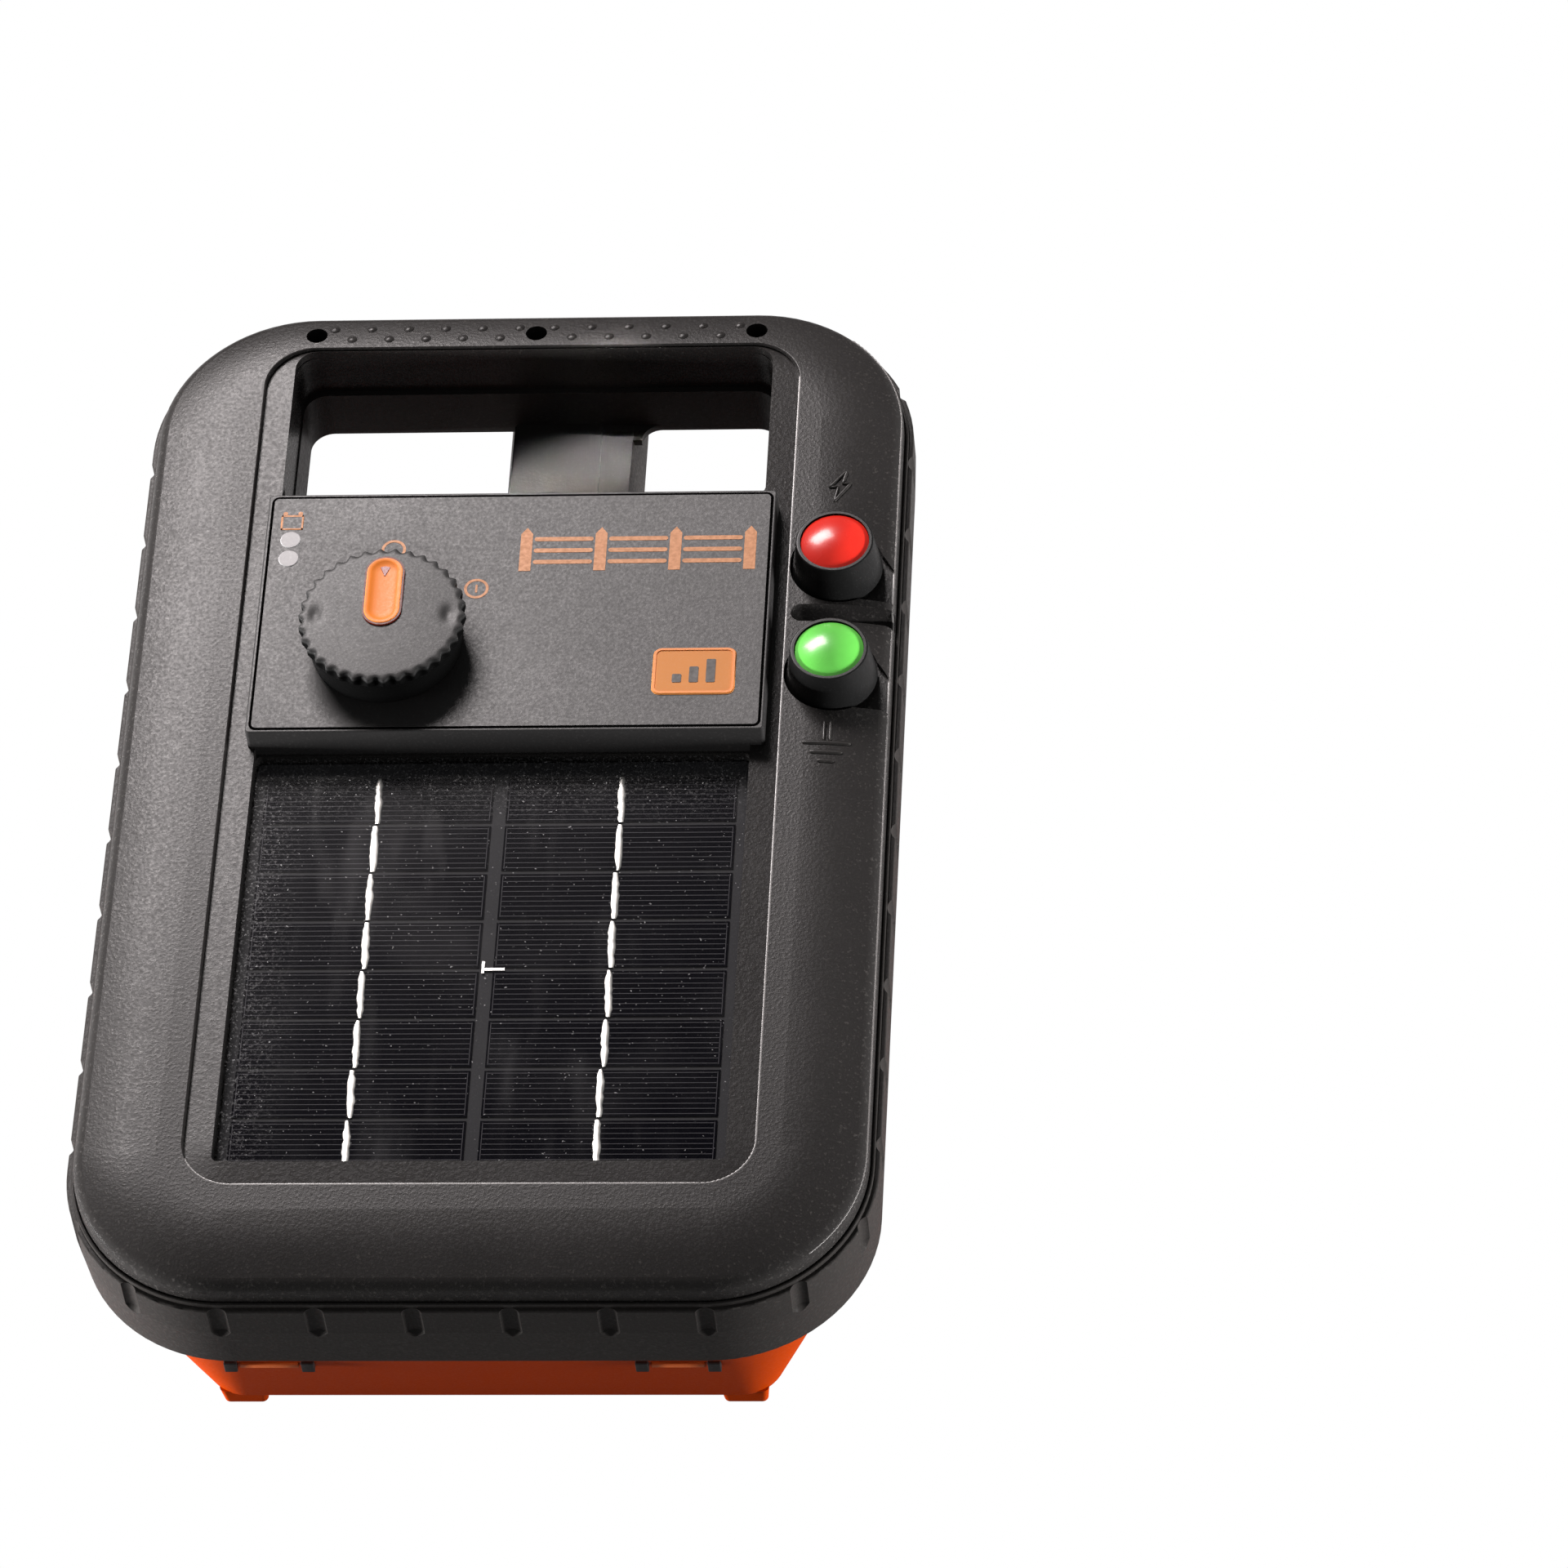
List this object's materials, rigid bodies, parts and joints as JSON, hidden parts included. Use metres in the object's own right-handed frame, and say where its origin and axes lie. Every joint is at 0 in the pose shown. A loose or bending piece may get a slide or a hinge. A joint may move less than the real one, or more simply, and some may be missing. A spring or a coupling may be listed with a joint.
{
  "type": "fence energizer",
  "caption": "Flat solar fence energizer with a carrying handle, a domed black cover, a rotary selector, two screw-down lead terminals and a tapered orange rear case.",
  "frame": {"origin": "on the plane of the feet, below the middle of the bounding box", "axes": "+Z out of the front face, +Y towards the carrying handle, +X to the terminals' side"},
  "size_m": [0.196, 0.3046, 0.0985],
  "materials": {
    "black_cover": "fine grained black ABS",
    "black_frame": "fine grained black rubberised plastic",
    "plate_grey": "fine grained dark grey ABS",
    "orange_case": "satin orange moulding",
    "orange_trim": "satin orange plastic",
    "knob_black": "satin dark grey plastic",
    "grip_black": "satin black plastic",
    "red_cap": "glossy red plastic",
    "green_cap": "glossy green plastic",
    "lens_grey": "frosted grey lens",
    "lamp_clear": "clear moulded resin",
    "solar_glass": "clear tempered glass",
    "solar_cell": "dark silicon with fine silver fingers",
    "ribbon_tin": "tinned copper ribbon",
    "backsheet_black": "black laminate",
    "seal_rubber": "soft black rubber",
    "screw_steel": "zinc plated steel",
    "stud_steel": "stainless steel",
    "battery_grey": "dark grey moulded case",
    "board_green": "green glass laminate",
    "parts_black": "moulded component cases",
    "core_metal": "varnished laminated steel",
    "capacitor_sleeve": "shrink sleeve",
    "wire_sleeve": "insulated lead"
  },
  "bodies": {
    "housing": {"front_cover": "black_cover", "rear_frame": "black_frame", "rear_case": "orange_case", "case_gasket": "seal_rubber", "handle_screws": "screw_steel", "case_screws": "screw_steel", "solar_glass": "solar_glass", "solar_cells": "solar_cell", "cell_ribbons": "ribbon_tin", "panel_backsheet": "backsheet_black", "panel_seal": "seal_rubber", "control_plate": "plate_grey", "plate_badge": "orange_trim", "indicator_lenses": "lens_grey", "light_pipes": "lamp_clear", "indicator_lamps": "lamp_clear", "switch_body": "parts_black", "shaft_seal": "seal_rubber", "battery": "battery_grey", "battery_tabs": "ribbon_tin", "battery_strap": "screw_steel", "battery_pad": "seal_rubber", "circuit_board": "board_green", "board_parts": "parts_black", "pulse_transformer": "core_metal", "storage_capacitor": "capacitor_sleeve", "output_leads": "wire_sleeve", "battery_leads": "wire_sleeve", "live_stud": "stud_steel", "earth_stud": "stud_steel"},
    "selector": {"selector_knob": "knob_black", "knob_pointer": "orange_trim", "pointer_window": "orange_trim", "selector_shaft": "lamp_clear"},
    "live_clamp": {"live_washer": "stud_steel"},
    "live_knob": {"live_grip": "grip_black", "live_cap": "red_cap"},
    "earth_clamp": {"earth_washer": "stud_steel"},
    "earth_knob": {"earth_grip": "grip_black", "earth_cap": "green_cap"}
  },
  "joints": [
    {"name": "selector_turn", "type": "hinge", "parent": "housing", "child": "selector", "pos_m": [-0.03, 0.0363, 0.092], "axis": [0, 0, 1], "range_deg": [-52, 0]},
    {"name": "live_clamp_lift", "type": "slide", "parent": "housing", "child": "live_clamp", "axis": [0, 0, 1], "range_m": [0, 0.00295]},
    {"name": "live_knob_turn", "type": "hinge", "parent": "live_clamp", "child": "live_knob", "pos_m": [0.081, 0.0645, 0.0838], "axis": [0, 0, 1], "range_deg": [0, 860]},
    {"name": "earth_clamp_lift", "type": "slide", "parent": "housing", "child": "earth_clamp", "axis": [0, 0, 1], "range_m": [0, 0.00295]},
    {"name": "earth_knob_turn", "type": "hinge", "parent": "earth_clamp", "child": "earth_knob", "pos_m": [0.081, 0.0305, 0.0838], "axis": [0, 0, 1], "range_deg": [0, 860]}
  ],
  "couplings": [
    {"joint": "live_knob_turn", "follows": "live_clamp_lift", "rad_per_m": 5026.5},
    {"joint": "earth_knob_turn", "follows": "earth_clamp_lift", "rad_per_m": 5026.5}
  ]
}
